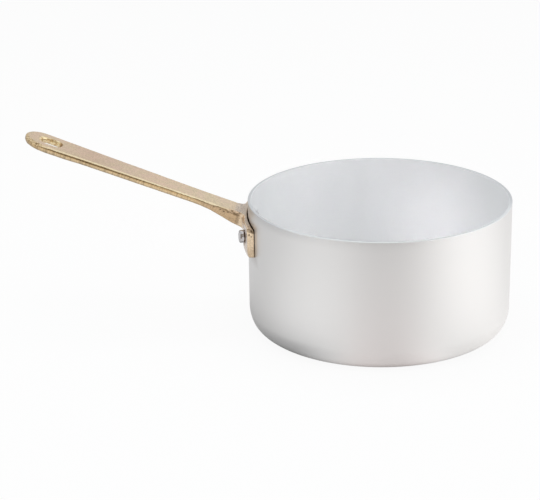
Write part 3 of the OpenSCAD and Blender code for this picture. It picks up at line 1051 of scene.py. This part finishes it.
room_light = build_room_light()
floor_mesh = bpy.data.meshes.new("table_top")
corners = [(a * table_reach, b * table_reach, 0) for a, b in ((-1, -1), (1, -1), (1, 1), (-1, 1))]
floor_mesh.from_pydata(corners, [], [(0, 1, 2, 3)])
floor = in_scene("table_top", floor_mesh)
white, tree, shader = new_material("white_table")
shader.inputs["Base Color"].default_value = (0.8, 0.8, 0.8, 1)
shader.inputs["Roughness"].default_value = 0.8
shader.inputs["Specular IOR Level"].default_value = 0.1
place = node(tree, "TexCoord").outputs["Object"]
light = use_group(tree, room_light, Direction=place)
length = node(tree, "VectorMath", operation="LENGTH")
tree.links.new(place, length.inputs[0])

# What the table shows to the metal: a glow with a painted shadow of the pan on its left, a
# painted contact shadow round its foot, a painted pool of light at the front right and painted
# shade at the right and further off. Bearings are in radians to the right of the camera, and
# distances in metres from the pan's axis. Both sides fade out towards the back, where they
# meet, so that no seam shows there.
bearing = light["Bearing"]
far = length.outputs["Value"]
back_left = ramped(tree, bearing, -3.1, -2.1)
back_right = ramped(tree, bearing, 3.1, 2.1)
dark = product(tree, ramped(tree, far, 0.9, 1.8), light["Front"], 0.9)
left_side = ramped(tree, bearing, -0.15, -0.8)
left_side = product(tree, left_side, ramped(tree, bearing, -1.0, -1.5, 1.0, 0.72), back_left)
shade = product(tree, left_side, ramped(tree, far, 0.075, 0.14, 0.76, 0.0))
right_front = ramped(tree, bearing, 0.1, 0.45)
right_front = product(tree, right_front, ramped(tree, bearing, 0.42, 0.7, 0.24, 0.0))
lit = product(tree, right_front, ramped(tree, far, 0.08, 0.16, 1.0, 0.0))
right_side = product(tree, ramped(tree, bearing, 0.5, 0.85, 0.0, 0.14), back_right)
right_side = product(tree, right_side, ramped(tree, far, 0.08, 0.2, 1.0, 0.0))
contact_shadow = ramped(tree, far, 0.069, 0.078, 0.22, 1.0)
fall = product(tree, ramped(tree, bearing, 0.3, 1.0, 0.15, 0.02), back_left)
fall = product(tree, fall, ramped(tree, far, 0.18, 0.36))
level = product(tree, light["Level"], all_but(tree, dark), all_but(tree, shade))
level = product(tree, level, maths(tree, "ADD", 1.0, lit), all_but(tree, right_side))
level = product(tree, level, contact_shadow, all_but(tree, fall))
warm_side = product(tree, ramped(tree, bearing, -0.1, 0.9), back_right)
glow_tone = blended(tree, warm_side, (1.0, 0.985, 0.968), (1.0, 0.973, 0.945))
rosy = within(tree, bearing, -0.5, -0.05, 0.2, 0.65)
rosy = product(tree, rosy, ramped(tree, far, 0.32, 0.1, 0.1, 1.0))
glow_tone = blended(tree, rosy, glow_tone, (1.07, 0.965, 0.93))
mirror_glow = node(tree, "Emission")
tree.links.new(glow_tone, mirror_glow.inputs["Color"])
tree.links.new(level, mirror_glow.inputs["Strength"])
camera_glow = node(tree, "Emission", Strength=1.0)
rays = node(tree, "LightPath").outputs
mirrored = mixed(tree, maths(tree, "MULTIPLY", rays["Is Glossy Ray"], 0.6), shader, mirror_glow)
shown = maths(tree, "MAXIMUM", rays["Is Camera Ray"], rays["Is Transmission Ray"])
seen = mixed(tree, maths(tree, "MULTIPLY", shown, 0.92), mirrored, camera_glow)
tree.links.new(seen.outputs[0], tree.nodes["Material Output"].inputs["Surface"])
floor_mesh.materials.append(white)

world = bpy.data.worlds.new("pale_room")
bpy.context.scene.world = world
world.use_nodes = True
tree = world.node_tree
even = tree.nodes["Background"]
even.inputs["Color"].default_value = (0.95, 0.975, 1.0, 1)
even.inputs["Strength"].default_value = 0.55
light = use_group(tree, room_light, Direction=node(tree, "TexCoord").outputs["Generated"])
dim_front = maths(tree, "MULTIPLY", light["Front"], 0.74)
room_tone = blended(tree, light["Front"], (0.95, 0.975, 1.0), (1.0, 0.85, 0.68))
room = node(tree, "Background")
tree.links.new(room_tone, room.inputs["Color"])
tree.links.new(product(tree, light["Level"], all_but(tree, dim_front)), room.inputs["Strength"])
plain_white = node(tree, "Background", Strength=1.0)
rays = node(tree, "LightPath").outputs
mirrored = mixed(tree, rays["Is Glossy Ray"], even, room)
shown = maths(tree, "MAXIMUM", rays["Is Camera Ray"], rays["Is Transmission Ray"])
seen = mixed(tree, shown, mirrored, plain_white)
tree.links.new(seen.outputs[0], tree.nodes["World Output"].inputs["Surface"])


def soft_box(name, at, width, height, power, aim=(0, 0, 0.05), spread=180):
    """An area lamp that faces the pan, or one place in it in a narrow beam."""
    data = bpy.data.lights.new(name, "AREA")
    data.shape = "RECTANGLE"
    data.size = width
    data.size_y = height
    data.energy = power
    data.spread = math.radians(spread)
    lamp = in_scene(name, data)
    lamp.location = at
    lamp.visible_glossy = False
    lamp.rotation_euler = (Vector(aim) - Vector(at)).to_track_quat("-Z", "Y").to_euler()


soft_box("overhead", (0.0, 0.0, 1.4), 1.2, 1.2, 10.0)
soft_box("right", (1.1, -0.35, 0.6), 0.7, 0.9, 3.0)
soft_box("left", (-1.1, -0.6, 0.6), 0.6, 0.6, 2.5)
soft_box("inside_right", (-0.35, -0.55, 0.55), 0.04, 0.04, 0.0048, (0.035, 0.069, 0.038), 6)
soft_box("inside_left", (0.4, -0.5, 0.55), 0.05, 0.05, 0.0045, (-0.045, 0.062, 0.055), 9)
